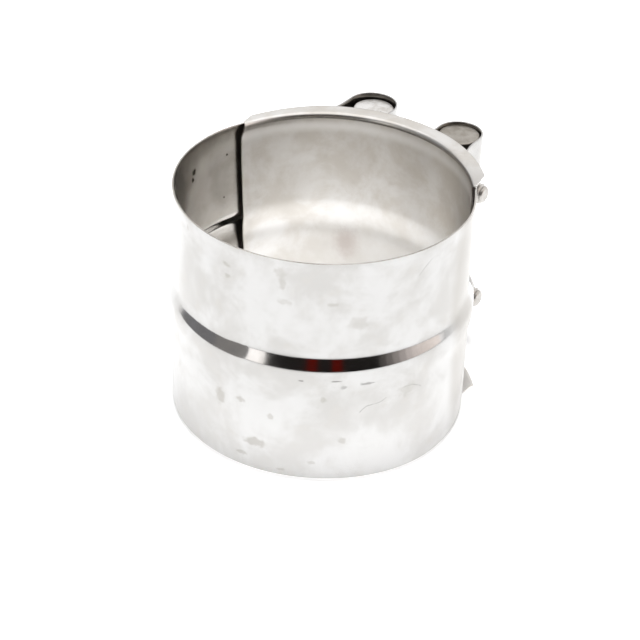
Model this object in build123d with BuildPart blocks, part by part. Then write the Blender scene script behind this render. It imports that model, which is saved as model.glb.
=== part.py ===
from build123d import *
import os
from math import cos, radians, sin, sqrt

# Wide-band lap-joint pipe clamp: a stepped and ridged band, a bridge plate, two bars and two bolts.
#
# The clamp's axis is +Z.  The band's loops, the bars and the bolts are on the +Y side, and the bolts run
# along X.  The origin is on the clamp's axis, at the middle of the lower socket's wall.  Millimetres.

# --- band: radii are of its outer face ---------------------------------------------------------------
band_height = 109.0
sheet = 0.8
lower_radius = 66.9
upper_radius = 65.5
ridge_radius = 68.3
z_bottom = -22.0
z_top = z_bottom + band_height
ridge_foot_low = z_bottom + 44.0
ridge_crest_low = z_bottom + 51.0
ridge_crest_high = z_bottom + 56.5
ridge_foot_high = z_bottom + 62.5
ridge_bend = 5.0

# --- loops: the band's ends folded out and back round the bars ---------------------------------------
loop_y = 76.5
left_loop_x = 24.05
left_loop_inner = 10.95
right_loop_x = 22.8
right_loop_inner = 10.0
flare_radius = 30.0
tail_start_azimuth = 40.0
tail_end_azimuth = 53.0

# --- bars --------------------------------------------------------------------------------------------
bar_radius = 9.5
bar_length = 105.0
bar_y = 76.8
bar_chamfer = 0.6
plain_bar_x = -23.4
plain_bar_top = z_top - 2.3
threaded_bar_x = 22.55
threaded_bar_top = z_top - 1.3

# --- bolts: 3/8 in by 3 in ---------------------------------------------------------------------------
bolt_radius = 4.76
bolt_length = 76.2
bolt_spacing = 56.0
bolt_drop = 1.4
bolt_middle_z = (z_bottom + z_top) / 2 - bolt_drop
bolt_heights = {"upper": bolt_middle_z + bolt_spacing / 2, "lower": bolt_middle_z - bolt_spacing / 2}
bolt_tips = {"upper": 38.6, "lower": 40.3}
head_across_flats = 14.3
head_height = 6.0
head_chamfer = 0.8
head_chamfer_angle = 60
tip_chamfer = 1.4
tapped_radius = bolt_radius + 0.05
plain_hole_radius = 5.2
seat_radius = 9.0
seat_depth = 1.4

# --- washers -----------------------------------------------------------------------------------------
flat_washer_inner = 5.1
flat_washer_outer = 8.5
flat_washer_thickness = 1.6
lock_washer_inner = 4.95
lock_washer_outer = 8.1
lock_washer_thickness = 2.4
lock_washer_slit = 1.2
lock_washer_slant = 25.0

# --- openings in the loops ---------------------------------------------------------------------------
shank_slot_height = 13.0
shank_slot_width = 14.0
head_window_height = 24.0
head_window_width = 20.0
window_corner = 4.0
head_window_start = 3.0
gap_cut_depth = 30.0

# --- bridge plate: azimuths are from +Y, clockwise from above ----------------------------------------
plate_gap = 0.3
flange_gap = 0.5
flange_radius = 71.0
fold_radius = 0.8
plate_left = -71.1
plate_right = 58.3
mitre_wall_width = 2.4
mitre_wall_height = 5.6
mitre_fold_angle = 2.2
mitre_flange_angle = 9.3


def azimuth_plane(azimuth):
    """The upright plane through the Z axis at an azimuth, with its own X pointing outward."""
    outward = (sin(radians(azimuth)), cos(radians(azimuth)), 0)
    normal = (cos(radians(azimuth)), -sin(radians(azimuth)), 0)
    return Plane(origin=(0, 0, 0), x_dir=outward, z_dir=normal)


def polar(radius, azimuth):
    """A point in plan."""
    return (radius * sin(radians(azimuth)), radius * cos(radians(azimuth)))


def band_corners(shift):
    """The corners of the band's outer face in section, from bottom to top, moved outward by shift."""
    return [
        (lower_radius + shift, z_bottom),
        (lower_radius + shift, ridge_foot_low),
        (ridge_radius + shift, ridge_crest_low),
        (ridge_radius + shift, ridge_crest_high),
        (upper_radius + shift, ridge_foot_high),
        (upper_radius + shift, z_top),
    ]


def band_section(plane, outer_shift, inner_shift):
    """The band's section on an upright plane, between two faces given as shifts from its outer face."""
    with BuildSketch(plane) as section:
        with BuildLine():
            outer = FilletPolyline(*band_corners(outer_shift), radius=ridge_bend)
            inner = FilletPolyline(*band_corners(inner_shift), radius=ridge_bend)
            Line(outer @ 0, inner @ 0)
            Line(outer @ 1, inner @ 1)
        make_face()
    return section.sketch


def loop_section(side, loop_x, inner_radius):
    """A loop in plan: gap wall, round top, far wall, and the flare that lies down on the ring."""
    gap_wall = side * (loop_x - inner_radius)
    far_wall = side * (loop_x + inner_radius)
    flare_centre_x = loop_x + inner_radius + flare_radius
    touch_radius = upper_radius - sheet / 2
    flare_reach = touch_radius + flare_radius
    flare_y = sqrt(flare_reach**2 - flare_centre_x**2)
    touch = touch_radius / flare_reach
    flare_end = (side * flare_centre_x * touch, flare_y * touch)
    foot_y = sqrt(upper_radius**2 - gap_wall**2) - 2 * sheet
    with BuildSketch(Plane.XY.offset(z_bottom)) as section:
        with BuildLine():
            Line((gap_wall, foot_y), (gap_wall, loop_y))
            ThreePointArc((gap_wall, loop_y), (side * loop_x, loop_y + inner_radius), (far_wall, loop_y))
            Line((far_wall, loop_y), (far_wall, flare_y))
            RadiusArc((far_wall, flare_y), flare_end, -side * flare_radius)
            offset(amount=sheet, side=Side.LEFT if side > 0 else Side.RIGHT)
        make_face()
    return section.sketch


os.makedirs("parts", exist_ok=True)

# --- outer band ----------------------------------------------------------------------------------------
with BuildPart() as outer_band:
    for side, loop_x, inner_radius in (
        (-1, left_loop_x, left_loop_inner),
        (1, right_loop_x, right_loop_inner),
    ):
        extrude(loop_section(side, loop_x, inner_radius), amount=band_height)
        tail = band_section(azimuth_plane(side * tail_start_azimuth), sheet, -sheet / 2)
        revolve(tail, axis=Axis.Z, revolution_arc=-side * (tail_end_azimuth - tail_start_azimuth))
    with BuildSketch(Plane.XZ):
        with BuildLine():
            bore = FilletPolyline(*band_corners(-sheet / 2), radius=ridge_bend)
            Polyline(bore @ 0, (0, z_bottom), (0, z_top), bore @ 1)
        make_face()
    revolve(axis=Axis.Z, mode=Mode.SUBTRACT)
    revolve(band_section(Plane.XZ, 0, -sheet), axis=Axis.Z)
    with BuildSketch(Plane.XY.offset(z_bottom)):
        left_edge = -(left_loop_x - left_loop_inner - sheet)
        right_edge = right_loop_x - right_loop_inner - sheet
        with Locations(((left_edge + right_edge) / 2, upper_radius)):
            Rectangle(right_edge - left_edge, gap_cut_depth)
    extrude(amount=band_height, mode=Mode.SUBTRACT)
    for height in bolt_heights.values():
        with BuildSketch(Plane.YZ.offset(-left_loop_x)):
            with Locations((bar_y, height)):
                RectangleRounded(shank_slot_width, shank_slot_height, window_corner)
        extrude(amount=2 * left_loop_x + right_loop_x, mode=Mode.SUBTRACT)
        with BuildSketch(Plane.YZ.offset(-left_loop_x - head_window_start)):
            with Locations((bar_y, height)):
                RectangleRounded(head_window_width, head_window_height, window_corner)
        extrude(amount=-left_loop_x, mode=Mode.SUBTRACT)
outer_band.part.label = "outer_band"
export_step(outer_band.part, "parts/outer_band.step")

# --- bridge plate --------------------------------------------------------------------------------------
plate_shift = -sheet - plate_gap
flange_z = {"top": z_top + flange_gap, "bottom": z_bottom - flange_gap}
with BuildPart() as bridge_plate:
    with BuildSketch(azimuth_plane(plate_right)):
        wall = band_corners(plate_shift)
        with BuildLine():
            under = FilletPolyline(
                (flange_radius, flange_z["bottom"]),
                (wall[0][0], flange_z["bottom"]),
                *wall[1:-1],
                (wall[-1][0], flange_z["top"]),
                (flange_radius, flange_z["top"]),
                radius=[fold_radius] + 4 * [ridge_bend] + [fold_radius],
            )
            offset(amount=sheet, side=Side.LEFT)
        make_face()
    revolve(axis=Axis.Z, revolution_arc=plate_right - plate_left)
    for end, inward in ((plate_left, 1), (plate_right, -1)):
        fold = end + inward * mitre_fold_angle
        with BuildSketch(Plane.XY.offset(flange_z["bottom"] - 2 * sheet)):
            with BuildLine():
                Polyline(
                    polar(upper_radius - sheet, end - inward),
                    polar(upper_radius - sheet, fold),
                    polar(flange_radius + sheet, end + inward * mitre_flange_angle),
                    polar(flange_radius + sheet, end - inward),
                    close=True,
                )
            make_face()
        extrude(amount=flange_z["top"] - flange_z["bottom"] + 4 * sheet, mode=Mode.SUBTRACT)
        upright = azimuth_plane(end)
        facing_out = Plane(origin=(0, 0, 0), x_dir=upright.z_dir, z_dir=upright.x_dir)
        for edge_z, downward in ((flange_z["top"] + sheet, -1), (flange_z["bottom"] - sheet, 1)):
            with BuildSketch(facing_out):
                with BuildLine():
                    Polyline(
                        (-inward, edge_z),
                        (inward * mitre_wall_width, edge_z),
                        (0, edge_z + downward * mitre_wall_height),
                        (-inward, edge_z + downward * mitre_wall_height),
                        close=True,
                    )
                make_face()
            extrude(amount=flange_radius, mode=Mode.SUBTRACT)
bridge_plate.part.label = "bridge_plate"
export_step(bridge_plate.part, "parts/bridge_plate.step")

# --- bars ----------------------------------------------------------------------------------------------
with BuildPart() as plain_bar:
    with BuildSketch(Plane.XY.offset(plain_bar_top - bar_length)):
        with Locations((plain_bar_x, bar_y)):
            Circle(bar_radius)
    extrude(amount=bar_length)
    chamfer(plain_bar.edges().filter_by(GeomType.CIRCLE), bar_chamfer)
    for height in bolt_heights.values():
        with Locations(Plane(origin=(plain_bar_x - bar_radius, bar_y, height), z_dir=(-1, 0, 0))):
            CounterBoreHole(plain_hole_radius, seat_radius, seat_depth)
plain_bar.part.label = "plain_bar"
export_step(plain_bar.part, "parts/plain_bar.step")

with BuildPart() as threaded_bar:
    with BuildSketch(Plane.XY.offset(threaded_bar_top - bar_length)):
        with Locations((threaded_bar_x, bar_y)):
            Circle(bar_radius)
    extrude(amount=bar_length)
    chamfer(threaded_bar.edges().filter_by(GeomType.CIRCLE), bar_chamfer)
    for height in bolt_heights.values():
        with Locations(Plane(origin=(threaded_bar_x - bar_radius, bar_y, height), z_dir=(-1, 0, 0))):
            Hole(tapped_radius)
threaded_bar.part.label = "threaded_bar"
export_step(threaded_bar.part, "parts/threaded_bar.step")

# --- bolts and washers, strung along X -----------------------------------------------------------------
for name, height in bolt_heights.items():
    head_x = bolt_tips[name] - bolt_length
    across = Plane(origin=(head_x, bar_y, height), x_dir=(0, 1, 0), z_dir=(1, 0, 0))

    with BuildPart() as bolt:
        with BuildSketch(across):
            RegularPolygon(head_across_flats / 2, 6, major_radius=False)
        extrude(amount=-head_height)
        with BuildSketch(across.offset(-head_height)):
            Circle(head_across_flats / 2 - head_chamfer / 2)
        extrude(amount=head_height, taper=-head_chamfer_angle, mode=Mode.INTERSECT)
        with BuildSketch(across):
            Circle(bolt_radius)
        extrude(amount=bolt_length)
        chamfer(bolt.edges().filter_by(GeomType.CIRCLE).sort_by(Axis.X)[-1], tip_chamfer)
    bolt.part.label = f"{name}_bolt"
    export_step(bolt.part, f"parts/{name}_bolt.step")

    with BuildPart() as lock_washer:
        with BuildSketch(across):
            Circle(lock_washer_outer)
            Circle(lock_washer_inner, mode=Mode.SUBTRACT)
        extrude(amount=lock_washer_thickness)
        slit = across.offset(lock_washer_thickness / 2).rotated((0, lock_washer_slant, 0))
        with BuildSketch(slit):
            with Locations((0, lock_washer_outer)):
                Rectangle(lock_washer_slit, lock_washer_outer)
        extrude(amount=2 * lock_washer_thickness, both=True, mode=Mode.SUBTRACT)
    lock_washer.part.label = f"{name}_lock_washer"
    export_step(lock_washer.part, f"parts/{name}_lock_washer.step")

    with BuildPart() as flat_washer:
        with BuildSketch(across.offset(lock_washer_thickness)):
            Circle(flat_washer_outer)
            Circle(flat_washer_inner, mode=Mode.SUBTRACT)
        extrude(amount=flat_washer_thickness)
    flat_washer.part.label = f"{name}_flat_washer"
    export_step(flat_washer.part, f"parts/{name}_flat_washer.step")
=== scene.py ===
"""Looks of the wide-band lap-joint pipe clamp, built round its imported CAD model.

Every piece is a mesh made here in the CAD frame.  Lengths are millimetres until new_mesh() turns them
into metres.  Azimuths are degrees from +Y, clockwise from above.
"""

from math import asin, atan2, cos, degrees, hypot, pi, radians, sin, sqrt, tan

import bmesh
import bpy
from mathutils import Matrix, Vector


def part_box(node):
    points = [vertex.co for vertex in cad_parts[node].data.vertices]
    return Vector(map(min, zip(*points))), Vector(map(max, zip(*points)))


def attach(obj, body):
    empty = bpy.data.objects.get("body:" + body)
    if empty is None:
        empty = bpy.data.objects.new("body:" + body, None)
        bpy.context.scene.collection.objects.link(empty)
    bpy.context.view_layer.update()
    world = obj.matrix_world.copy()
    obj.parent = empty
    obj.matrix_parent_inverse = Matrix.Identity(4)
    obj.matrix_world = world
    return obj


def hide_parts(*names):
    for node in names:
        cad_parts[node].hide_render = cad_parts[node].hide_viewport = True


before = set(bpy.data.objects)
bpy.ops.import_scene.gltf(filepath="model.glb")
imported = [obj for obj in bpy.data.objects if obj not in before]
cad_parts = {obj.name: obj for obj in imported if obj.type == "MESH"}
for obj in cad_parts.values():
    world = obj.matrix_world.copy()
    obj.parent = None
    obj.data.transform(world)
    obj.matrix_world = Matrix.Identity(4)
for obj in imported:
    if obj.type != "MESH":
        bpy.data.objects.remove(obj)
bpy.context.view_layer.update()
scene = bpy.context.scene
MM = 0.001


def span(node, axis):
    """Lowest and highest place of a CAD node along an axis, in millimetres."""
    return [getattr(corner, axis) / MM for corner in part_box(node)]


def middle_of(node):
    """The middle of a CAD node's box, in millimetres."""
    return [sum(span(node, axis)) / 2 for axis in "xyz"]


# --- sizes, with the heights read from the frame ---
z_bottom, z_top = span("outer_band", "z")
sheet = 0.8
half_sheet = sheet / 2
lower_radius = 66.9
upper_radius = 65.5
ridge_radius = 68.3
ridge_foot_low = z_bottom + 44.0
ridge_crest_low = z_bottom + 51.0
ridge_crest_high = z_bottom + 56.5
ridge_foot_high = z_bottom + 62.5
rim_round = 0.22
# a rim's curve from the outer face to the inner: offset from the sheet's middle, and how far past its faces
rim_curve = [(half_sheet - 0.3 * rim_round, 0.7 * rim_round), (half_sheet - rim_round, rim_round)]
rim_curve += [(-offset, beyond) for offset, beyond in rim_curve[::-1]]

loop_x = {-1: 24.05, 1: 22.8}
loop_y = 76.5
loop_inner = {-1: 10.95, 1: 10.0}
flare_radius = 30.0
bend_radius = 2.0
tail_end = 53.0

bar_radius = 9.5
bar_y = 76.8
bolt_radius = 4.76
bolt_length = 76.2
thread_pitch = 25.4 / 16
bolt_heights = {level: middle_of(f"{level}_bolt")[2] for level in ("upper", "lower")}


# --- small helpers ---
def smooth_step(x, low, high):
    """0 below low, 1 above high, and an even S between."""
    t = min(1.0, max(0.0, (x - low) / (high - low)))
    return t * t * (3 - 2 * t)


def soft_ramp(x, half):
    """0 well below zero, x well above it, and a parabola over the bend between."""
    if x <= -half:
        return 0.0
    if x >= half:
        return x
    return (x + half) ** 2 / (4 * half)


def bump(x, width):
    """A smooth hill of height 1 about zero."""
    return max(0.0, 1 - (x / width) ** 2) ** 2


def in_plan(radius, azimuth):
    return radius * sin(radians(azimuth)), radius * cos(radians(azimuth))


def steps(start, end, count):
    """count even steps from start, without the end."""
    return [start + (end - start) * i / count for i in range(count)]


def new_mesh(name, points, faces, uvs=None):
    """A mesh from points in millimetres, with its UVs listed face by face."""
    mesh = bpy.data.meshes.new(name)
    mesh.from_pydata([Vector(p) * MM for p in points], [], faces)
    if uvs:
        layer = mesh.uv_layers.new(name="UVMap")
        for loop, uv in zip(layer.data, (uv for face in uvs for uv in face)):
            loop.uv = uv
    return mesh


def weld(mesh, distance=1e-6, dissolve=False):
    """Joins the points that coincide, drops squeezed faces if asked, and turns the faces outward."""
    work = bmesh.new()
    work.from_mesh(mesh)
    bmesh.ops.remove_doubles(work, verts=work.verts, dist=distance)
    if dissolve:
        bmesh.ops.dissolve_degenerate(work, edges=work.edges, dist=1e-6)
    bmesh.ops.recalc_face_normals(work, faces=work.faces)
    work.to_mesh(mesh)
    work.free()
    return mesh


def new_object(name, data):
    made = bpy.data.objects.new(name, data)
    scene.collection.objects.link(made)
    return made


def shade(piece, sharp):
    """Smooth faces, with an edge sharp where it turns by more than sharp degrees."""
    piece.data.polygons.foreach_set("use_smooth", [True] * len(piece.data.polygons))
    piece.data.set_sharp_from_angle(angle=radians(sharp))


def place(mesh, body, node, material, sharp=38):
    """Makes a piece of a mesh, with its name, which rides on a body and stands for a CAD node."""
    piece = new_object(mesh.name, mesh)
    shade(piece, sharp)
    mesh.materials.append(material)
    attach(piece, body)
    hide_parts(node)
    return piece


def ring_faces(a, b, count):
    """Faces between two closed rings of count points, which start at a and b."""
    return [(a + i, a + (i + 1) % count, b + (i + 1) % count, b + i) for i in range(count)]


def lathe(profile, count, origin, closed=False):
    """Points and faces of a profile of (x, radius) turned about an axis along X through origin."""
    points, faces = [], []
    for x, radius in profile:
        for i in range(count):
            angle = 2 * pi * i / count
            points.append((origin[0] + x, origin[1] + radius * cos(angle), origin[2] + radius * sin(angle)))
    rows = len(profile)
    for row in range(rows if closed else rows - 1):
        faces += ring_faces(row * count, (row + 1) % rows * count, count)
    return points, faces


# --- camera ---
view_azimuth = 32.2
view_elevation = 29.391
view_distance = 846.6
view_pitch = 33.4
view_roll = 2.31


def make_camera():
    """The photograph's viewpoint, given from the middle of the band's upper rim."""
    right = Vector((cos(radians(view_azimuth)), sin(radians(view_azimuth)), 0))
    away = Vector((-sin(radians(view_azimuth)), cos(radians(view_azimuth)), 0))
    up = Vector((0, 0, 1))
    elevation, pitch, roll = radians(view_elevation), radians(view_pitch), radians(view_roll)
    position = up * z_top + (up * sin(elevation) - away * cos(elevation)) * view_distance
    forward = away * cos(pitch) - up * sin(pitch)
    image_up = right.cross(forward)
    image_right = right * cos(roll) + image_up * sin(roll)
    image_up = image_up * cos(roll) - right * sin(roll)
    data = bpy.data.cameras.new("camera")
    data.sensor_width = 36
    data.lens = 109.7
    camera = new_object("camera", data)
    axes = Matrix((image_right, image_up, -forward)).transposed()
    camera.matrix_world = Matrix.Translation(position * MM) @ axes.to_4x4()
    scene.camera = camera


# --- materials ---
class Graph:
    """A material's nodes, with sockets given by name."""

    def __init__(self, name):
        self.material = bpy.data.materials.new(name)
        self.material.use_nodes = True
        self.tree = self.material.node_tree
        self.tree.nodes.clear()

    def feed(self, socket, value):
        """Links a socket to another, or sets its value."""
        if isinstance(value, bpy.types.NodeSocket):
            self.tree.links.new(value, socket)
        else:
            socket.default_value = value

    def add(self, kind, inputs=(), **settings):
        node = self.tree.nodes.new("ShaderNode" + kind)
        for key, value in settings.items():
            setattr(node, key, value)
        for key, value in dict(inputs).items():
            self.feed(node.inputs[key], value)
        return node

    def math(self, operation, a, b=0.0):
        return self.add("Math", {0: a, 1: b}, operation=operation).outputs[0]

    def plus(self, a, b):
        return self.math("ADD", a, b)

    def minus(self, a, b):
        return self.math("SUBTRACT", a, b)

    def times(self, a, b):
        return self.math("MULTIPLY", a, b)

    def weighted(self, first, *others):
        """The sum of (value, weight) pairs."""
        total = self.times(*first)
        for value, weight in others:
            total = self.plus(total, self.times(value, weight))
        return total

    def vector(self, operation, a, b=(0, 0, 0), scale=1.0):
        node = self.add("VectorMath", {0: a, 1: b, 3: scale}, operation=operation)
        return node.outputs[1 if operation == "LENGTH" else 0]

    def noise(self, where, scale, detail=3.0, roughness=0.5, distortion=0.0, output="Fac"):
        inputs = {"Vector": where, "Scale": scale, "Detail": detail, "Roughness": roughness}
        return self.add("TexNoise", {**inputs, "Distortion": distortion}).outputs[output]

    def ranged(self, value, low, high, to_low=0.0, to_high=1.0, kind="SMOOTHSTEP"):
        return self.add("MapRange", {"Value": value, "From Min": low, "From Max": high,
                                     "To Min": to_low, "To Max": to_high},
                        interpolation_type=kind).outputs[0]

    def mix(self, factor, a, b):
        node = self.add("Mix", data_type="RGBA")
        for number, value in ((0, factor), (6, a), (7, b)):
            self.feed(node.inputs[number], value)
        return node.outputs[2]

    def finish(self, shader, **inputs):
        """The material, with a shader node of these inputs as its surface."""
        surface = self.add(shader, {key.replace("_", " "): value for key, value in inputs.items()})
        self.tree.links.new(surface.outputs[0], self.add("OutputMaterial").inputs[0])
        return self.material

    def steel(self, colour, roughness, height, distance):
        """A metal surface from a colour, a roughness and a height in metres."""
        relief = self.add("Bump", {"Strength": 1.0, "Distance": distance, "Height": height})
        return self.finish("BsdfPrincipled", Base_Color=colour, Metallic=1.0, Roughness=roughness,
                           Normal=relief.outputs[0])


def grey(value, warmth=0.0):
    """A near-neutral colour; warmth above zero turns it towards beige."""
    return (value * (1 + warmth), value, value * (1 - 1.4 * warmth), 1)


def rolled_sheet(name, clean, smudge, roughness, limits, depth=0.000012, detail=7, marks=(), scratches=(),
                 shine=None, inside_shade=None, foot_painted_light=0.0):
    """Rolled stainless sheet on UVs in metres: cloudy mottling, smudges, specks and fine scratches.

    Roughness varies about its value, inside limits; depth is the relief's height in metres; detail is the
    clouds' finest octave.  marks are (u, v, half width, half height, strength, softness, colour), which
    may be painted shade or a painted highlight; scratches are (u, v, radius, first angle, last angle, half
    width); shine is (low, high) heights of a burnished strip; hidden is (first u, last u, colour) of painted
    shade: between them the face without the added metre is that colour, and elsewhere the face with it,
    and the loops' inner faces are painted near black as shade in their pockets.  foot_painted_light is how
    much paler the sheet is painted at its foot, as painted light for the bright floor that the wall reflects.
    """
    g = Graph(name)
    where = g.add("UVMap", uv_map="UVMap").outputs[0]
    u_here, v_here = g.add("SeparateXYZ", {0: where}).outputs[:2]
    clouds = g.noise(where, 42, detail, 0.62, 0.25)
    waves = g.noise(where, 34, 2, 0.5, 0.4)
    patches = g.noise(where, 120, 2, 0.45, 0.2)
    fine = g.noise(where, 900, 3, 0.6)
    grain = g.noise(g.vector("MULTIPLY", where, (60, 1400, 1)), 1, 3, 0.6)
    hairlines = g.noise(g.vector("MULTIPLY", where, (900, 60, 1)), 1, 2, 0.5)

    colour = g.mix(g.ranged(clouds, 0.38, 0.62), clean, smudge)
    # painted light: the sheet painted paler towards its foot, for the bright floor that the lower wall
    # reflects
    if foot_painted_light:
        foot = g.ranged(v_here, z_bottom * MM, 0.03, foot_painted_light, 0.0)
        colour = g.mix(foot, colour, grey(1.0))
    spots = g.times(g.ranged(patches, 0.52, 0.72), g.ranged(clouds, 0.42, 0.62))
    colour = g.mix(g.times(spots, 0.22), colour, grey(0.50, 0.05))
    specks = g.ranged(g.noise(where, 1100, 1, 0.5), 0.79, 0.83)
    colour = g.mix(g.times(specks, 0.4), colour, grey(0.22, 0.03))
    dirt_and_painted_marks = g.times(spots, 0.5)

    # painted shade: the ring's bore face darker and warmer, and the loops' inner faces near black, where
    # shade falls inside them
    if inside_shade:
        first, last, tone = inside_shade
        off_middle = g.math("ABSOLUTE", g.minus(g.math("FRACT", u_here), (first + last) / 2))
        half = (last - first) / 2
        in_ring = g.ranged(off_middle, half - 0.001, half + 0.003, 1.0, 0.0)
        second = g.math("GREATER_THAN", u_here, 0.95)
        inside = g.math("ABSOLUTE", g.minus(in_ring, second))
        colour = g.mix(inside, colour, g.mix(g.ranged(clouds, 0.35, 0.7), tone, grey(0.38, 0.05)))
        loop_pocket_shade = g.times(g.minus(1.0, in_ring), second)
        colour = g.mix(g.times(loop_pocket_shade, 0.85), colour, grey(0.17, 0.08))

    edge_noise = g.noise(where, 420, 3, 0.6, output="Color")
    wander = g.vector("SUBTRACT", edge_noise, (0.5, 0.5, 0.5))
    for u, v, half_width, half_height, strength, softness, tint in marks:
        away = g.vector("SUBTRACT", where, (u, v, 0))
        away = g.vector("MULTIPLY", away, (1 / half_width, 1 / half_height, 0))
        ragged = min(1.9, 0.008 / max(half_width, half_height))
        away = g.vector("ADD", away, g.vector("SCALE", wander, scale=ragged))
        inside = g.ranged(g.vector("LENGTH", away), 1.0 - softness, 1.0 + softness / 3, strength, 0.0)
        colour = g.mix(inside, colour, tint)
        # every mark roughens the surface a little: the real ones, and the painted shade and highlights alike
        dirt_and_painted_marks = g.math("MAXIMUM", dirt_and_painted_marks, inside)
    bent = g.vector("ADD", where, g.vector("SCALE", wander, scale=0.0013))
    groove = 0.0
    for u, v, radius, first, last, width in scratches:
        arm = g.vector("SUBTRACT", bent, (u, v, 0))
        reach = g.vector("LENGTH", g.vector("MULTIPLY", arm, (1, 1, 0)))
        line = g.ranged(g.math("ABSOLUTE", g.minus(reach, radius)), width * 0.3, width, 1.0, 0.0)
        along, up = g.add("SeparateXYZ", {0: arm}).outputs[:2]
        off_middle = g.math("ABSOLUTE", g.minus(g.math("ARCTAN2", up, along), (first + last) / 2))
        line = g.times(line, g.ranged(off_middle, (last - first) * 0.4, (last - first) / 2, 1.0, 0.0))
        groove = g.math("MAXIMUM", groove, line)
    if scratches:
        colour = g.mix(g.times(groove, 0.55), colour, grey(0.16, 0.03))

    rough = g.ranged(clouds, 0.3, 0.7, roughness - 0.04, roughness + 0.05, "LINEAR")
    rough = g.plus(rough, g.times(dirt_and_painted_marks, 0.05))
    rough = g.plus(rough, g.times(g.minus(fine, 0.5), 0.03))
    if shine:
        low, high = shine
        strip = g.ranged(v_here, low - 0.001, low + 0.001)
        strip = g.times(strip, g.ranged(v_here, high - 0.001, high + 0.001, 1.0, 0.0))
        rough = g.minus(rough, g.times(strip, 0.11))
    rough = g.math("MINIMUM", g.math("MAXIMUM", rough, limits[0]), limits[1])
    relief = g.weighted((grain, 0.14), (fine, 0.02), (hairlines, 0.06), (waves, 2.0), (groove, -1.0))
    return g.steel(colour, rough, relief, depth)


def arc_mark(start, end, sag, width):
    """A scratch from start to end, bowed to the left by sag: its centre, radius, angles and half width."""
    chord = Vector(end) - Vector(start)
    half = chord.length / 2
    radius = (half**2 + sag**2) / (2 * sag)
    left = Vector((-chord.y, chord.x)).normalized()
    centre = (Vector(start) + Vector(end)) / 2 - left * (radius - sag)
    angles = sorted(atan2(y - centre.y, x - centre.x) for x, y in (start, end))
    return (centre.x, centre.y, radius, *angles, width)


def bar_end_steel(node, tone, warmth, pits, rings):
    """Turned bar: circular tool marks about the bar's middle on its faces, pits and cloudy oxide."""
    g = Graph(node + "_steel")
    where = g.add("TexCoord").outputs["Object"]
    from_axis = g.vector("SUBTRACT", where, (middle_of(node)[0] * MM, bar_y * MM, 0))
    radius = g.times(g.vector("LENGTH", g.vector("MULTIPLY", from_axis, (1, 1, 0))), 9000.0)
    waves = g.math("SINE", g.plus(radius, g.times(g.noise(where, 300, 2), 5.0)))
    clouds = g.noise(where, 240, 4, 0.6, 0.5)
    fine = g.noise(where, 2400, 3, 0.6)
    colour = g.mix(g.ranged(clouds, 0.35, 0.7), grey(tone, warmth), grey(tone * 0.72, warmth + 0.03))
    pit = g.ranged(g.noise(where, 1300, 2, 0.4), 0.70, 0.76)
    colour = g.mix(g.times(pit, pits), colour, grey(0.12, 0.05))
    rough = g.ranged(fine, 0.3, 0.7, 0.34, 0.50, "LINEAR")
    relief = g.weighted((waves, rings), (fine, 1.2), (pit, -4.0 * pits))
    return g.steel(colour, rough, relief, 0.00001)


def fastener_steel(name, tone, warmth):
    """Cold-formed stainless: soft mottling and fine grain."""
    g = Graph(name)
    where = g.add("TexCoord").outputs["Object"]
    clouds = g.noise(where, 320, 4, 0.6, 0.6)
    fine = g.noise(where, 3000, 3, 0.6)
    colour = g.mix(g.ranged(clouds, 0.35, 0.7), grey(tone, warmth), grey(tone * 0.76, warmth + 0.02))
    rough = g.ranged(fine, 0.3, 0.7, 0.28, 0.40, "LINEAR")
    return g.steel(colour, rough, g.weighted((clouds, 2.0), (fine, 1.0)), 0.00001)


# --- band ---
# bends in the ring's outer face, from bottom to top: height, change of slope, half length of the bend
low_slope = (ridge_radius - lower_radius) / (ridge_crest_low - ridge_foot_low)
high_slope = (upper_radius - ridge_radius) / (ridge_foot_high - ridge_crest_high)
ring_bends = (
    (ridge_foot_low, low_slope, 3.5),
    (ridge_crest_low, -low_slope, 2.5),
    (ridge_crest_high, high_slope, 1.3),
    (ridge_foot_high, -high_slope, 1.3),
)
rim_flare = 0.9
flare_height = 9.0
out_of_round = 0.2
right_bulge = 0.9
dent_azimuth = 180.5
dent_lift = 0.7
dent_depth = 0.35


def signed(azimuth):
    """An azimuth between -180 and 180."""
    return (azimuth + 180) % 360 - 180


def ring_outer(z, azimuth=0.0, bends=ring_bends):
    """Radius of the band's outer face.  Away from the loops the rim opens a little and the ring is dented."""
    away = abs(signed(azimuth))
    front = smooth_step(away, 72, 115)
    past_dent = (azimuth - dent_azimuth) % 360
    lift = 0.0
    if front and past_dent < 60:
        lift = dent_lift * (1 - smooth_step(past_dent, 5, 55)) * smooth_step(past_dent, 0, 2.2)
    radius = lower_radius
    for height, slope, half in bends:
        radius += slope * soft_ramp(z + lift * bump(z - ridge_foot_high, 9) - height, half)
    rim = soft_ramp(z - (z_top - flare_height), 3.5) / flare_height
    radius += smooth_step(away, 60, 80) * rim_flare * rim
    radius += front * out_of_round * (1 + sin(radians(2 * azimuth + 180)))
    radius += front * right_bulge * bump(signed(azimuth - 95), 70) * smooth_step(-z, -30, -z_bottom)
    at_dent = bump(signed(azimuth - dent_azimuth) + 1.0, 4.5) * bump(z - ridge_foot_high + 1.5, 5)
    return radius - front * dent_depth * at_dent


def far_wall(side, z):
    """A loop's far wall: straight length, the flare's centre and angle, and the tail's first azimuth."""
    centre_x = loop_x[side] + loop_inner[side] + flare_radius
    reach = ring_outer(z) + flare_radius
    centre_y = sqrt(reach**2 - centre_x**2)
    angle = atan2(centre_y, centre_x)
    return loop_y - centre_y, centre_x, centre_y, angle, degrees(atan2(centre_x, centre_y))


def far_wall_length(side):
    """Length of the sheet from the loop's round top to the end of its tail, at the band's top."""
    straight, _, _, angle, touch = far_wall(side, z_top)
    flare = (flare_radius - half_sheet) * angle
    return straight + flare + (upper_radius + half_sheet) * radians(tail_end - touch)


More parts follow.
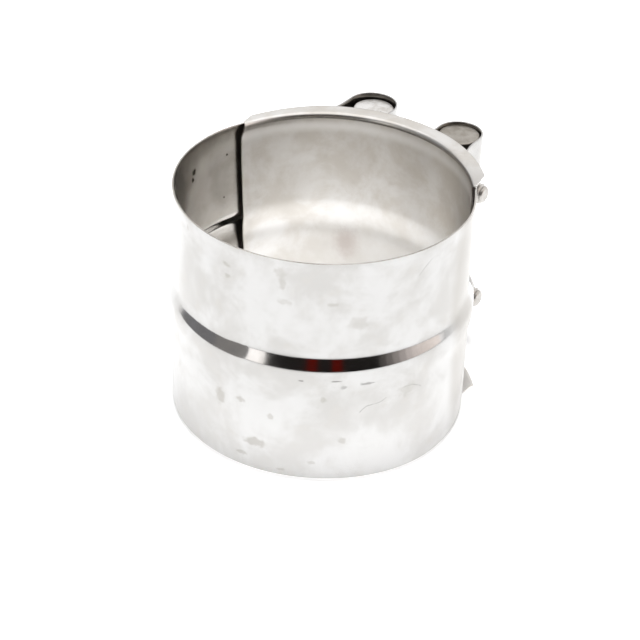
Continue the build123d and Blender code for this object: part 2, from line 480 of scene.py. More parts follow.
# stretches of sheet next to the round top that hold the windows, and keep their length at every height
far_block = {-1: 14.0, 1: 11.5}
gap_block = 10.6
far_length = {side: far_wall_length(side) for side in (-1, 1)}
gap_length = 14.0


def top_length(side):
    return pi * (loop_inner[side] + half_sheet)


def loop_point(side, along, z, offset):
    """A point of a loop's sheet.  along is 0 where the far wall meets the round top, below 0 towards the
    tail's end and above 0 towards the gap wall; offset is outward from the middle of the sheet."""
    top_radius = loop_inner[side] + half_sheet
    if along < 0:
        straight, centre_x, centre_y, angle, touch = far_wall(side, z)
        arc_radius = flare_radius - half_sheet
        tail_radius = ring_outer(z) + half_sheet + 0.02
        total = straight + arc_radius * angle + tail_radius * radians(tail_end - touch)
        down = -along
        block = far_block[side]
        if down > block:
            down = block + (down - block) / (far_length[side] - block) * (total - block)
        if down <= straight:
            x, y = loop_x[side] + top_radius + offset, loop_y - down
        elif down <= straight + arc_radius * angle:
            turned = (down - straight) / arc_radius
            x = centre_x - (arc_radius - offset) * cos(turned)
            y = centre_y - (arc_radius - offset) * sin(turned)
        else:
            azimuth = touch + degrees((down - straight - arc_radius * angle) / tail_radius)
            x, y = in_plan(tail_radius + offset, azimuth)
    elif along <= top_length(side):
        angle = along / top_radius
        x = loop_x[side] + (top_radius + offset) * cos(angle)
        y = loop_y + (top_radius + offset) * sin(angle)
    else:
        wall_x = loop_x[side] - top_radius
        bend_y = sqrt((ring_outer(z) - half_sheet + bend_radius) ** 2 - (wall_x + bend_radius) ** 2)
        angle = pi / 2 - atan2(wall_x + bend_radius, bend_y)
        total = loop_y - bend_y + bend_radius * angle
        down = along - top_length(side)
        if down > gap_block:
            down = gap_block + (down - gap_block) / (gap_length - gap_block) * (total - gap_block)
        if down <= loop_y - bend_y:
            x, y = wall_x - offset, loop_y - down
        else:
            turned = (down - loop_y + bend_y) / bend_radius
            x = wall_x + bend_radius - (bend_radius + offset) * cos(turned)
            y = bend_y - (bend_radius + offset) * sin(turned)
    return side * x, y, z


def ring_point(share, z, offset):
    """A point of the ring, from the left loop's bend (share 0) round the front to the right one's (1)."""
    ends = []
    for side in (-1, 1):
        wall_x = loop_x[side] - loop_inner[side] - half_sheet
        reach = ring_outer(z) - half_sheet + bend_radius
        ends.append(degrees(asin((wall_x + bend_radius) / reach)))
    azimuth = -ends[0] - share * (360 - ends[0] - ends[1])
    return (*in_plan(ring_outer(z, azimuth) - half_sheet - offset, azimuth), z)


def rounded_window(width, height, corner, angle_point):
    """The point of a rounded rectangle about 0, 0 that lies in the direction of angle_point."""
    x, y = angle_point
    half_w, half_h = width / 2, height / 2
    scale = min(half_w / abs(x) if x else 1e9, half_h / abs(y) if y else 1e9)
    px, py = abs(x) * scale, abs(y) * scale
    cx, cy = half_w - corner, half_h - corner
    if px > cx and py > cy:
        dx, dy = px - cx, py - cy
        length = hypot(dx, dy)
        px, py = cx + dx / length * corner, cy + dy / length * corner
    return (px if x >= 0 else -px, py if y >= 0 else -py)


class SheetMesh:
    """Points, faces and texture coordinates of a sheet with rounded rims.

    Each section goes along the outer face, over a rim, back along the inner face and over the other rim.
    Inner faces have a metre added to u.
    """

    def __init__(self, row_count):
        self.points, self.faces, self.uvs, self.coords, self.grid = [], [], [], [], []
        self.row_count = row_count

    @staticmethod
    def section(path):
        """(point of the path, offset outward, distance past the path's end) round a section."""
        section = [(at, half_sheet, 0.0) for at in path]
        section += [(path[-1], offset, beyond) for offset, beyond in rim_curve]
        section += [(at, -half_sheet, 0.0) for at in reversed(path)]
        return section + [(path[0], -offset, beyond) for offset, beyond in rim_curve]

    def add(self, point, u, v, offset):
        self.points.append(point)
        self.coords.append((u * MM, v * MM, offset < -0.999 * half_sheet))
        return len(self.points) - 1

    def face(self, *corners):
        self.faces.append(corners)
        inner = all(self.coords[c][2] for c in corners)
        self.uvs.append([(self.coords[c][0] + (1.0 if inner else 0.0), self.coords[c][1]) for c in corners])

    def ribbon(self, ring, new):
        """Faces between two closed rings of points."""
        for k in range(len(ring)):
            k2 = (k + 1) % len(ring)
            self.face(ring[k], ring[k2], new[k2], new[k])

    def build(self, windows=()):
        """Faces between the sections but for the windows' blocks, and over both ends."""
        n = self.row_count
        skipped = {(i, j) for i0, i1, j0, j1, *_ in windows for i in range(i0, i1) for j in range(j0, j1)}
        for i, (column, after) in enumerate(zip(self.grid, self.grid[1:])):
            for k in range(len(column)):
                row = k if k < n - 1 else 2 * n + 2 - k if n + 4 <= k < 2 * n + 3 else -1
                if (i, row) not in skipped:
                    k2 = (k + 1) % len(column)
                    self.face(column[k], column[k2], after[k2], after[k])
        for column in (self.grid[0], self.grid[-1]):
            for k in range(n - 1):
                self.face(column[k], column[k + 1], column[2 * n + 2 - k], column[2 * n + 3 - k])
            self.face(*column[n - 1:n + 5])
            self.face(*column[2 * n + 3:], column[0])


class FoldedSheet(SheetMesh):
    """A sheet given by a function of (station along it, height, offset), with windows."""

    def __init__(self, point, stations, rows, distance):
        super().__init__(len(rows))
        self.point, self.stations, self.rows, self.distance = point, stations, rows, distance
        middle = (rows[0] + rows[-1]) / 2
        for station in stations:
            column = []
            for z, offset, beyond in self.section(rows):
                column.append(self.vertex(station, z + (beyond if z > middle else -beyond), offset))
            self.grid.append(column)

    def vertex(self, station, z, offset):
        return self.add(self.point(station, z, offset), self.distance(station), z, offset)

    def window(self, i0, i1, j0, j1, width, height, corner, middle):
        """Rings of faces between a block of the grid and a rounded window, on both faces, and its edge."""
        border = [(i, j0) for i in range(i0, i1)] + [(i1, j) for j in range(j0, j1)]
        border += [(i, j1) for i in range(i1, i0, -1)] + [(i0, j) for j in range(j1, j0, -1)]

        def ring_at(offset, grown, share):
            """A ring from the block's border (share 0) to the window grown on every side (share 1)."""
            ring = []
            for i, j in border:
                part, along = self.stations[i]
                ds, dz = along - middle[0], self.rows[j] - middle[1]
                ws, wz = rounded_window(width + 2 * grown, height + 2 * grown, corner + grown, (ds, dz))
                at = (part, middle[0] + ds + (ws - ds) * share)
                ring.append(self.vertex(at, middle[1] + dz + (wz - dz) * share, offset))
            return ring

        rims = {}
        for face_offset in (half_sheet, -half_sheet):
            inner = face_offset < 0
            last = 2 * self.row_count + 3
            ring = [self.grid[i][last - j if inner else j] for i, j in border]
            for share in (0.35, 0.65, 0.88, 1.0):
                new = ring_at(face_offset, rim_round, share)
                self.ribbon(ring, new)
                ring = new
            rims[face_offset] = ring
        ring = rims[half_sheet]
        for offset, beyond in rim_curve:
            new = ring_at(offset, rim_round - beyond, 1.0)
            self.ribbon(ring, new)
            ring = new
        self.ribbon(ring, rims[-half_sheet])


# texture coordinates treat the ring as this part of a circle
ring_first = 12.2
ring_turn = 360 - 24.5
ring_length = 2 * pi * 66 * ring_turn / 360
left_start = far_length[-1]
ring_start = left_start + top_length(-1) + gap_length


def band_distance(station):
    """Distance along the band's sheet of a station, in millimetres."""
    part, value = station
    if part == -1:
        return left_start + value
    if part == 0:
        return ring_start + value * ring_length
    return ring_start + ring_length + gap_length + top_length(1) - value


def band_point(station, z, offset):
    part, value = station
    return ring_point(value, z, offset) if part == 0 else loop_point(part, value, z, offset)


def ring_u(azimuth):
    """The band's texture coordinate of an azimuth on the ring, on its outside (the front is 180)."""
    return (ring_start + ((-azimuth) % 360 - ring_first) / ring_turn * ring_length) * MM


# half heights of the blocks of rows that hold the windows
slot_block, head_block = 10.0, 15.5
window_corner = 4.0


def band_rows():
    """Heights of the band's rows: fine over the ridge, and with one at each edge of the windows' blocks."""
    first, last = ridge_foot_low - 4, ridge_foot_high + 2.5
    marks = [z_bottom + rim_round, z_top - rim_round, first, last, z_top - 12]
    marks += [m + s * b for m in bolt_heights.values() for b in (slot_block, head_block) for s in (-1, 1)]
    marks = sorted(marks)
    rows = []
    for low, high in zip(marks, marks[1:]):
        fine = 0.62 if low > first - 0.1 and high < last + 0.1 else 2.2
        rows += steps(low, high, max(1, round((high - low) / fine)))
    return rows + [marks[-1]]


def band_stations():
    """(part, place) along the sheet, from the left tail: part is -1 left loop, 0 ring, 1 right loop."""
    loops = {}
    for side, far_hole in ((-1, 13.0), (1, 11.0)):
        far, gap, top = far_block[side], gap_block, top_length(side)
        path = steps(-far_length[side], -far, 26) + steps(-far, far_hole + 3, 20)
        path += steps(far_hole + 3, top - gap, 10) + steps(top - gap, top + gap, 16)
        path += steps(top + gap, top + gap_length, 9) + [top + gap_length]
        loops[side] = [(side, value) for value in path]
    ring = [(0, share) for share in steps(0, 1, 190)] + [(0, 1.0)]
    return loops[-1][:-1] + ring + loops[1][::-1][1:]


def nearest(values, wanted):
    return min(range(len(values)), key=lambda k: abs(values[k] - wanted))


def make_band(material):
    """The band: tail, flare, loop, ring, loop, flare and tail in one sheet, with windows for the bolts."""
    rows, stations = band_rows(), band_stations()
    band = FoldedSheet(band_point, stations, rows, band_distance)
    windows = []
    for side in (-1, 1):
        top = top_length(side)
        # a window's first and last station, width, height, middle along the sheet and half block of rows
        kinds = [(top - gap_block, top + gap_block, 14.4, 13.0, top - 0.2, slot_block)]
        if side < 0:
            kinds.append((-far_block[side], 16.0, 20.6, 24.0, 0.9, head_block))
        else:
            kinds.append((-far_block[side], 14.0, 14.8, 13.0, 0.6, slot_block))
        values = [value if part == side else 1e6 for part, value in stations]
        for middle_z in bolt_heights.values():
            for start, end, width, height, middle, block in kinds:
                columns = sorted((nearest(values, start), nearest(values, end)))
                held = nearest(rows, middle_z - block), nearest(rows, middle_z + block)
                windows.append((*columns, *held, width, height, window_corner, (middle, middle_z)))
    band.build(windows)
    for window in windows:
        band.window(*window)
    mesh = weld(new_mesh("band_sheet", band.points, band.faces, band.uvs))
    place(mesh, "clamp_band", "outer_band", material)


# --- bridge plate ---
plate_left = -71.1
plate_right = 58.3
plate_gap = 0.3
# the plate only follows the ridge loosely
plate_bends = (
    (ridge_foot_low + 1, 0.06, 3.0),
    (ridge_crest_low - 1, -0.06, 3.0),
    (ridge_crest_low + 2, -0.193, 3.0),
    (ridge_foot_high - 0.5, 0.193, 3.0),
)
fold_inner = 1.3
flange_gap = 0.5
mitre_height = 5.6
mitre_cut = 2.2
plate_sections = 150
plate_uv_radius = 64


def plate_wall(z):
    """Radius of the middle of the bridge plate's wall."""
    return ring_outer(z, 0.0, plate_bends) - sheet - plate_gap - half_sheet


def flange_edge(azimuth, up):
    """Outer radius of a flange: narrower to the left, and to the right narrower above and wider below."""
    left = 2.0 * (1 - smooth_step(azimuth, plate_left, plate_left + 38))
    right = smooth_step(azimuth, plate_right - 40, plate_right - (0 if up > 0 else 10))
    return 71.3 - left + (-1.0 if up > 0 else 2.1) * right


def plate_profile(azimuth):
    """(radius, z, normal r, normal z, stretch) up the plate, where the normal points at the pipe."""
    fold = fold_inner + half_sheet
    low, high = z_bottom - flange_gap + fold_inner, z_top + flange_gap - fold_inner
    halves = []
    for up, z_fold in ((-1, low), (1, high)):
        wall = plate_wall(z_fold)
        edge = flange_edge(azimuth, up) - rim_round
        half = [(wall + fold + (edge - wall - fold) * (1 - k / 6), z_fold + up * fold, 0, up, "flange")
                for k in range(6)]
        for k in range(9):
            angle = pi / 2 * k / 8
            half.append((wall + fold - fold * sin(angle), z_fold + up * fold * cos(angle),
                         -sin(angle), up * cos(angle), "bend"))
        halves.append(half)
    heights = [low + mitre_height * k / 4 for k in range(1, 5)]
    heights += steps(low + mitre_height + 3, ridge_foot_low - 5, 8)
    heights += steps(ridge_foot_low - 5, ridge_foot_high + 4, 48)
    heights += steps(ridge_foot_high + 4, high - mitre_height - 3, 12)
    heights += [high - mitre_height * k / 4 for k in range(4, 0, -1)]
    wall = []
    for z in heights:
        slope = (plate_wall(z + 0.05) - plate_wall(z - 0.05)) / 0.1
        length = hypot(1, slope)
        wall.append((plate_wall(z), z, -1 / length, slope / length, "wall"))
    return halves[0] + wall + halves[1][::-1]


def plate_ends(radius, z, stretch):
    """Azimuth cut off the plate's left end at a point of its profile, for the mitred corners."""
    if stretch == "flange":
        share = (radius - upper_radius) / (72.0 - upper_radius)
        return mitre_cut + 10.0 * max(0.0, share)
    near = min(z_top + flange_gap - z, z - z_bottom + flange_gap)
    return mitre_cut * max(0.0, 1 - near / mitre_height)


def plate_right_end(radius, z, stretch):
    """The same for the right end, whose lower corner is hardly cut."""
    if stretch == "flange" and z < 0:
        return 1.5 + 6.2 * smooth_step(radius, upper_radius, 73.5)
    return plate_ends(radius, z, stretch)


def plate_spring(azimuth, z):
    """How far the plate's wall stands off inward: its left end springs into the bore."""
    lean = 1 - 0.25 * smooth_step(z, z_bottom, z_top)
    return 2.3 * lean * (1 - smooth_step(azimuth, plate_left - 30, plate_left + 50)) / 0.69


def plate_u(azimuth):
    """The plate's texture coordinate of an azimuth, in millimetres."""
    return radians(azimuth) * plate_uv_radius


def make_plate(material):
    plate = SheetMesh(len(plate_profile(0.0)))
    for i in range(plate_sections + 1):
        share = i / plate_sections
        path, distance = [], 0.0
        for at in plate_profile(plate_left + share * (plate_right - plate_left)):
            if path:
                distance += hypot(at[0] - path[-1][0], at[1] - path[-1][1])
            path.append((*at, distance))
        wall_start = path[14]
        shift = wall_start[1] - wall_start[5]
        column = []
        for (radius, z, nr, nz, stretch, distance), offset, beyond in plate.section(path):
            cut = plate_ends(radius, z, stretch)
            cuts = cut + plate_right_end(radius, z, stretch)
            lean = 3.6 * (1 - smooth_step(z, -10, z_top))
            azimuth = plate_left + cut + lean + share * (plate_right - plate_left - cuts - lean)
            spring = plate_spring(azimuth, z) * (1.0 if stretch == "wall" else 0.75)
            point = (*in_plan(radius + nr * offset + beyond - spring, azimuth), z + nz * offset)
            column.append(plate.add(point, plate_u(azimuth), distance + shift, offset))
        plate.grid.append(column)
    plate.build()
    mesh = weld(new_mesh("bridge_plate_sheet", plate.points, plate.faces, plate.uvs))
    place(mesh, "bridge", "bridge_plate", material)


# --- bars ---
cutter_reach = 14


def turned_bar(node, hole_radius, spot_face, material):
    """A round bar with rolled-over end edges, cross holes and, if given, spot faces (radius, depth)."""
    x = middle_of(node)[0]
    bottom, top = span(node, "z")
    length = top - bottom
    edge = 0.7
    quarter = steps(0, pi / 2, 5)
    profile = [(0.0, 0.0)] + [(0.0, bar_radius * k / 6) for k in range(1, 6)]
    profile += [(edge - edge * cos(a), bar_radius - edge + edge * sin(a)) for a in quarter]
    profile += [(z, bar_radius) for z in steps(edge, length - edge, 60)]
    profile += [(length - edge + edge * sin(a), bar_radius - edge + edge * cos(a)) for a in quarter]
    profile += [(length, (bar_radius - edge) * (1 - k / 6)) for k in range(6)] + [(length, 0.0)]
    points, faces = lathe(profile, 128, (bottom, 0, 0))
    points = [(x + q, bar_y + r, p) for p, q, r in points]
    mesh = weld(new_mesh(node + "_turned", points, faces))
    bar = place(mesh, "clamp_band", node, material)
    for height in bolt_heights.values():
        cuts = [(hole_radius, cutter_reach, 64)]
        if spot_face:
            cuts.append((spot_face[0], spot_face[1] - bar_radius, 96))
        for radius, end, count in cuts:
            cylinder = [(-cutter_reach, 0.0), (-cutter_reach, radius), (end, radius), (end, 0.0)]
            points, faces = lathe(cylinder, count, (x, bar_y, height))
            cutter = new_object("cutter", weld(new_mesh("cutter", points, faces)))
            cut = bar.modifiers.new("cut", "BOOLEAN")
            cut.operation, cut.solver, cut.object = "DIFFERENCE", "EXACT", cutter
            evaluated = bar.evaluated_get(bpy.context.evaluated_depsgraph_get())
            bar.data = bpy.data.meshes.new_from_object(evaluated)
            bar.modifiers.clear()
            bpy.data.objects.remove(cutter)
    shade(bar, 30)


# --- bolts and washers ---
head_across_flats = 14.3
head_height = 6.0
thread_length = 44.0
thread_depth = 0.92


def hex_radius(angle, corner_round=0.5):
    """Radius of a hexagon with slightly rounded corners in a direction."""
    turned = (angle + pi / 6) % (pi / 3) - pi / 6
    flat = head_across_flats / 2 / cos(turned)
    corner = head_across_flats / 2 / cos(pi / 6) - corner_round * 0.35
    return min(flat, corner)


def make_bolt(level, material):
    """A hexagon bolt along +X with its head at -X: chamfered head, shank and a real helical thread."""
    node = f"{level}_bolt"
    tip_x, height = span(node, "x")[1], bolt_heights[level]
    head_x = tip_x - bolt_length
    head_face = head_x - head_height
    around = 96
    points, faces = [], []

    def add(x, radius, angle):
        points.append((x, bar_y + radius * cos(angle), height + radius * sin(angle)))

    def join_rings(rows):
        """Rings of (x, radius), joined one after another; a radius may be a function of the angle."""
        first = len(points)
        for x, radius in rows:
            for i in range(around):
                angle = 2 * pi * i / around
                add(x, radius(angle) if callable(radius) else radius, angle)
        for start in range(first, len(points) - around, around):
            faces.extend(ring_faces(start, start + around, around))

    def chamfered(depth):
        cone = face_radius + depth / tan(radians(30))
        return lambda angle: min(hex_radius(angle), cone)

    face_radius = head_across_flats / 2 - 0.35
    rows = [(head_face + 0.25, 0.0), (head_face + 0.2, face_radius * 0.55),
            (head_face, face_radius * 0.8), (head_face, face_radius)]
    rows += [(head_face + 2.0 * k / 12, chamfered(2.0 * k / 12)) for k in range(1, 13)]
    rows += [(x, hex_radius) for x in steps(head_face + 2.4, head_x - 0.65, 5)]
    rows += [(head_x - 0.62, hex_radius), (head_x - 0.45, lambda angle: hex_radius(angle) - 0.2),
             (head_x - 0.4, 6.85), (head_x - 0.12, 6.8), (head_x, 6.6), (head_x, bolt_radius + 0.5),
             (head_x + 0.15, bolt_radius + 0.12), (head_x + 0.5, bolt_radius)]
    thread_start = tip_x - 1.0 - thread_length
    rows += [(x, bolt_radius) for x in steps(head_x + 2, thread_start - 0.6, 6)]
    root = bolt_radius - thread_depth
    rows += [(thread_start - 0.6, bolt_radius - 0.02), (thread_start, root + 0.25)]
    join_rings(rows)
    # the thread: rows that climb one pitch a turn, held inside its two ends
    thread_end = tip_x - 0.9
    levels = ((0.0, 0.0), (0.06, 0.0), (0.30, 0.55), (0.47, 1.0), (0.60, 1.0), (0.77, 0.55))
    turns = int((thread_end - thread_start) / thread_pitch) + 2
    start = len(points)
    for along, rise in ((turn + part, rise) for turn in range(-1, turns) for part, rise in levels):
        for i in range(around + 1):
            x = thread_start + (along + i / around) * thread_pitch
            inside = smooth_step(x, thread_start, thread_start + 2.2)
            taper = 1 - 0.75 * smooth_step(x, thread_end - 1.5, thread_end)
            radius = root + thread_depth * (rise * inside * taper + (1 - inside) * 0.27)
            if x < thread_start:
                x, radius = thread_start, root + 0.25
            if x >= thread_end:
                x, radius = thread_end, root + 0.1
            add(x, radius, 2 * pi * i / around)
    for a in range(start, len(points) - around - 1, around + 1):
        b = a + around + 1
        faces += [(a + i, a + i + 1, b + i + 1, b + i) for i in range(around)]
    join_rings([(thread_end, root + 0.1), (tip_x - 0.35, root - 0.25), (tip_x - 0.08, root - 0.7),
                (tip_x, root - 1.3), (tip_x, root * 0.3), (tip_x, 0.0)])
    mesh = weld(new_mesh(node + "_threaded", points, faces), 2e-6, dissolve=True)
    place(mesh, f"{level}_screw", node, material, 42)


def corner_arc(x, radius, size, first, count):
    """count + 1 points round a corner of a profile, a quarter turn from an angle in degrees."""
    angles = [radians(first + 90 * k / count) for k in range(count + 1)]
    return [(x + size * cos(angle), radius + size * sin(angle)) for angle in angles]


def make_flat_washer(level, material):
    """A stamped washer: rounded on its punched side, nearly square on the other."""
    node = f"{level}_flat_washer"
    (x_low, x_high), (y_low, y_high) = span(node, "x"), span(node, "y")
    half, inner, outer = (x_high - x_low) / 2, 5.1, (y_high - y_low) / 2
    profile = []
    for side, radius, corner, first in ((1, outer, 0.45, 0), (-1, outer, 0.15, 90),
                                        (-1, inner, 0.15, 180), (1, inner, 0.35, 270)):
        inward = -corner if radius == outer else corner
        profile += corner_arc(side * (half - corner), radius + inward, corner, first, 4)
    mesh = weld(new_mesh(node + "_stamped", *lathe(profile, 96, middle_of(node), closed=True)))
    place(mesh, f"{level}_washers", node, material)


def make_lock_washer(level, material):
    """A split spring washer: a square wire wound one turn, its cut ends sprung a little apart."""
    node = f"{level}_lock_washer"
    (x_low, x_high), (y_low, y_high) = span(node, "x"), span(node, "y")
    middle = middle_of(node)
    inner, outer = 4.95, (y_high - y_low) / 2
    spring = 0.25
    half = (x_high - x_low) / 2 - spring
    corner = 0.3
    section = []
    for sx, sr, first in ((1, 1, 0), (-1, 1, 90), (-1, -1, 180), (1, -1, 270)):
        radius = (inner + outer) / 2 + sr * ((outer - inner) / 2 - corner)
        section += corner_arc(sx * (half - corner), radius, corner, first, 3)
    count, n = 110, len(section)
    slit = degrees(0.9 / outer)
    points, faces = [], []
    for i in range(count + 1):
        share = i / count
        for x, radius in section:
            slant = x * tan(radians(25)) / radius
            angle = radians(90 + slit + share * (360 - 2 * slit)) + slant
            along = middle[0] + x + spring * (2 * share - 1)
            points.append((along, middle[1] + radius * cos(angle), middle[2] + radius * sin(angle)))
    for i in range(count):
        faces += ring_faces(i * n, (i + 1) * n, n)
    faces += [tuple(range(n)), tuple(range(count * n, (count + 1) * n))]
    mesh = weld(new_mesh(node + "_split", points, faces))
    place(mesh, f"{level}_washers", node, material)


# --- floor, light and what the steel reflects ---
def stage(name, points, faces, material):
    """An object of the stage, which isn't part of the clamp."""
    mesh = new_mesh(name, points, faces)
    mesh.materials.append(material)
    staged = new_object(name, mesh)
    return staged


def glowing_card(name, points, faces, colour, strength):
    """A glowing card of the studio that only reflections see."""
    glow = Graph(name + "_glow").finish("Emission", Color=(*colour, 1), Strength=strength)
    card = stage(name, points, faces, glow)
    card.visible_camera = False
    card.visible_diffuse = False
    card.visible_shadow = False
    card.visible_transmission = False


def screen(name, start, end, low, high, radius, colour, strength):
    """A curved card between two azimuths, which are from the camera and positive to its right."""
    points, faces = [], []
    for i in range(screen_sections + 1):
        azimuth = 180 - view_azimuth - (start + (end - start) * i / screen_sections)
        x, y = in_plan(radius, azimuth)
        points += [(x, y, low), (x, y, high)]
        if i:
            k = 2 * i
            faces.append((k - 2, k - 1, k + 1, k))
    glowing_card(name, points, faces, colour, strength)


screen_sections = 24
paper_white = (1.0, 0.99, 0.98)
room_black = (1.0, 0.9, 0.85)
door_red = (1.0, 0.04, 0.015)
# name, first and last azimuth, lowest and highest point, radius, colour and strength
room_screens = (
    ("bright_room", 92, 150, 20, 1400, 1290, (1.0, 0.98, 0.97), 1.4),
    ("dim_room_left", -165, -74, -20, 190, 620, (0.97, 0.96, 1.0), 0.30),
    ("dim_room_left_end", -74, -51.5, -20, 190, 620, (1.0, 0.96, 0.94), 0.38),
    ("window_light", -51, -37, 40, 600, 1280, (1.0, 0.97, 0.95), 1.95),
    ("back_wall", 120, 240, 300, 1300, 1200, paper_white, 1.12),
)


def make_room():
    """The room that the steel reflects: dark ahead, with two red doors, and paler to the sides and above."""
    screen("dark_room", -36, 43, 30, 1500, 1300, room_black, 0.02)
    width = 5
    for number in range(10):
        start = 42 + width * number
        strength = 0.05 + 1.4 * smooth_step(start + width / 2, 38, 88)
        screen(f"dim_room_{number}", start, start + width, 20, 1400, 1290, room_black, strength)
    for row in room_screens:
        screen(*row)
    corners = 48
    points = [(*in_plan(1200, 360 * i / corners), 1500) for i in range(corners)]
    glowing_card("ceiling", points, [tuple(range(corners))], paper_white, 1.5)
    for name, start in (("red_door_left", -8), ("red_door_right", 9.2)):
        screen(name, start, start + 7, 60, 420, 1250, door_red, 0.13)


def make_floor():
    """White paper that glows slightly, so that it stays white under a soft light."""
    g = Graph("floor_paper")
    where = g.add("TexCoord").outputs["Object"]
    tone = g.ranged(g.noise(where, 30, 3), 0.3, 0.7, 0.0, 1.0, "LINEAR")
    paper = g.finish("BsdfPrincipled", Base_Color=g.mix(tone, grey(0.80), grey(0.82)), Roughness=0.9,
                     Specular_IOR_Level=0.2, Emission_Color=(1, 1, 1, 1), Emission_Strength=0.42)
    size, z = 6000, span("bridge_plate", "z")[0] - 0.05
    corners = ((-size, -size, z), (size, -size, z), (size, size, z), (-size, size, z))
    stage("floor", corners, [(0, 1, 2, 3)], paper)


def make_light(elevation, distance, size, power):
    """A soft round lamp over the object, which reflections don't see."""
    data = bpy.data.lights.new("overhead_light", "AREA")
    data.shape, data.size, data.energy = "DISK", size, power
    light = new_object("overhead_light", data)
    x, y = in_plan(cos(radians(elevation)), 180 - view_azimuth)
    direction = Vector((x, y, sin(radians(elevation))))
    facing = direction.to_track_quat("Z", "Y").to_matrix().to_4x4()
    light.matrix_world = Matrix.Translation(direction * distance) @ facing
    light.visible_glossy = False


def make_studio():
    world = bpy.data.worlds.new("world")
    scene.world = world
    world.use_nodes = True
    background = world.node_tree.nodes["Background"]
    background.inputs["Color"].default_value = (1.0, 0.998, 0.992, 1)
    background.inputs["Strength"].default_value = 0.32
    make_floor()
    make_light(88, 1.6, 0.8, 33)
    make_room()
    cycles = scene.cycles
    cycles.max_bounces, cycles.glossy_bounces, cycles.diffuse_bounces = 20, 16, 6
    settings = scene.view_settings
    settings.view_transform = "Standard"
    settings.look = "None"


# --- everything ---
make_camera()
make_studio()

# handling marks on the ring, and one mark of painted shade: side (1 for the outside, 0 for the inside),
# tone, and for each mark its azimuth, height, half width, half height and strength
ring_marks = (
    (1.0, grey(0.36, 0.05), (
        (208, 81.5, 0.9, 1.4, 0.40), (185, 76.5, 1.6, 0.9, 0.55), (184.5, 71, 1.2, 0.8, 0.50),
        (163, 80.5, 2.3, 2.0, 0.30), (162, 75.5, 1.3, 2.4, 0.38), (186.5, 10, 1.9, 3.6, 0.55),
        (177, 12.5, 1.7, 1.0, 0.50), (145.5, 20, 1.0, 1.2, 0.50), (171, -7.5, 4.2, 1.9, 0.55),
        (177, -15.5, 2.2, 0.9, 0.45), (165, 8, 1.1, 1.2, 0.40), (160.5, -19, 1.7, 0.5, 0.40),
        (149, -13.5, 1.5, 0.7, 0.30), (138, -1.5, 1.4, 1.4, 0.40), (143.5, 67, 2.0, 0.8, 0.40),
        (134, 57.5, 3.4, 2.6, 0.28), (161, 66.5, 2.6, 1.5, 0.25), (215.5, 23, 0.5, 3.0, 0.40),
        # the last mark here, at azimuth 77, is painted shade on the outer wall towards its right silhouette
        (214.5, 8, 0.5, 1.8, 0.40), (113, 19, 3.6, 2.6, 0.25), (77, 40, 11, 60, 0.60),
    )),
    (1.0, grey(0.15, 0.04), (
        (130.5, 28, 2.4, 0.6, 0.45), (138.5, 27, 1.0, 0.9, 0.30), (141.5, 30.4, 1.5, 0.35, 0.6),
        (154, 30, 0.9, 0.4, 0.55),
    )),
    # two rust pits and two specks
    (0.0, grey(0.035, 0.15), (
        (262.5, 75, 1.3, 1.4, 0.95), (261.6, 71.3, 0.9, 0.9, 0.95), (283.5, 74, 0.45, 0.5, 0.8),
        (282, 52.3, 0.4, 0.45, 0.8),
    )),
)
mark_growth = 1.35
band_marks = [
    (ring_u(azimuth) + side, height * MM, mark_growth * half_width * MM, mark_growth * half_height * MM,
     strength + 0.1, 0.45, tone)
    for side, tone, marks in ring_marks
    for azimuth, height, half_width, half_height, strength in marks
]


def outside_scratch(start, end, sag, width):
    """A scratch on the ring's outside between two (azimuth, height) points, bowed by sag millimetres."""
    points = [(ring_u(azimuth) + 1.0, height * MM) for azimuth, height in (start, end)]
    return arc_mark(*points, sag * MM, width * MM)


band_scratches = (
    outside_scratch((132.2, 12.1), (126.5, 15.7), 1.3, 0.24),
    outside_scratch((121.8, 18.0), (126.5, 15.7), 0.5, 0.22),
    outside_scratch((110.1, 74.0), (104.2, 80.5), 0.4, 0.20),
    outside_scratch((115.5, 20.5), (106.0, 17.0), 1.4, 0.16),
)
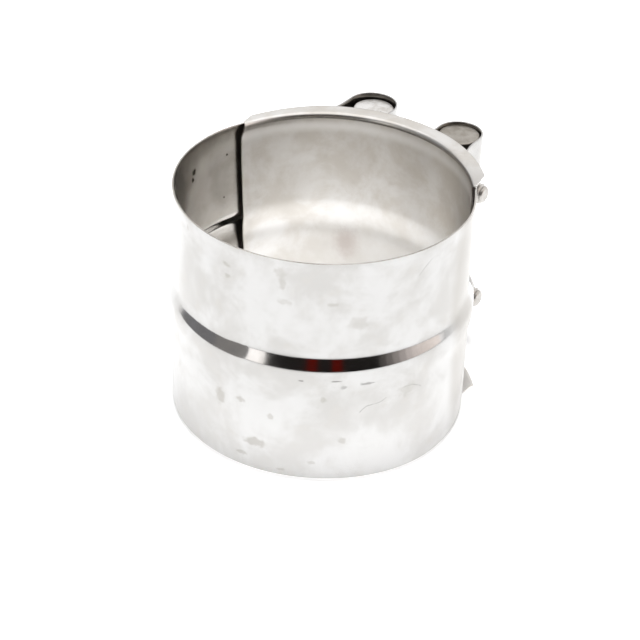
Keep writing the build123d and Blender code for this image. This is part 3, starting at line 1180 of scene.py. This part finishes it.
# the plate's: painted shade towards its foot, a cloud, painted shade at its right end, brown stain, a painted
# highlight along its upper edge and painted shade in the fold
plate_marks = [
    (plate_u(azimuth) * MM, height * MM, half_width * MM, half_height * MM, strength, softness, tone)
    for azimuth, height, half_width, half_height, strength, softness, tone in (
        # painted shade towards the plate's foot
        (10, 12, 70, 30, 0.85, 0.95, grey(0.50, 0.03)),
        (-45, 50, 14, 12, 0.35, 0.95, grey(0.56, 0.05)),
        # painted shade at the plate's right end
        (58, 50, 26, 60, 0.75, 0.9, grey(0.30, 0.06)),
        (-22.5, 19, 6.5, 10, 0.80, 0.9, (0.45, 0.40, 0.375, 1)),
        # painted highlight along the plate's upper edge, below the fold
        (0, z_top - 5.0, 400, 3.2, 0.6, 0.95, grey(1.0)),
        # painted shade along the fold at the plate's top
        (-10, z_top - 0.9, 66, 0.55, 0.8, 0.8, grey(0.10, 0.05)),
    )
]
# each sheet's roughness keeps to one side of 0.274, where the render's noise filter would show a patchy edge
band_steel = rolled_sheet(
    "band_steel", grey(0.545, 0.006), grey(0.465, 0.018), 0.22, (0.0, 0.268),
    marks=band_marks, scratches=band_scratches, shine=(ridge_crest_high * MM, ridge_foot_high * MM),
    # painted shade on the ring's bore face and in the loops, and painted light at the band's foot
    inside_shade=(ring_start * MM, (ring_start + ring_length) * MM, grey(0.55, 0.035)), foot_painted_light=0.12,
)
# painted light: the plate is the band's steel, painted paler to stand in for the light inside the ring
plate_steel = rolled_sheet(
    "plate_steel", grey(0.72, 0.014), grey(0.60, 0.045), 0.31, (0.28, 0.40),
    depth=0.000004, detail=5, marks=plate_marks,
)
make_band(band_steel)
make_plate(plate_steel)
turned_bar("plain_bar", 5.2, (9.0, 1.4), bar_end_steel("plain_bar", 0.82, 0.008, 0.75, 0.5))
turned_bar("threaded_bar", 4.81, None, bar_end_steel("threaded_bar", 0.40, 0.06, 0.25, 1.6))
bolt_steel = fastener_steel("bolt_steel", 0.5, 0.03)
washer_steel = fastener_steel("washer_steel", 0.55, 0.01)
for level in bolt_heights:
    make_bolt(level, bolt_steel)
    make_flat_washer(level, washer_steel)
    make_lock_washer(level, washer_steel)
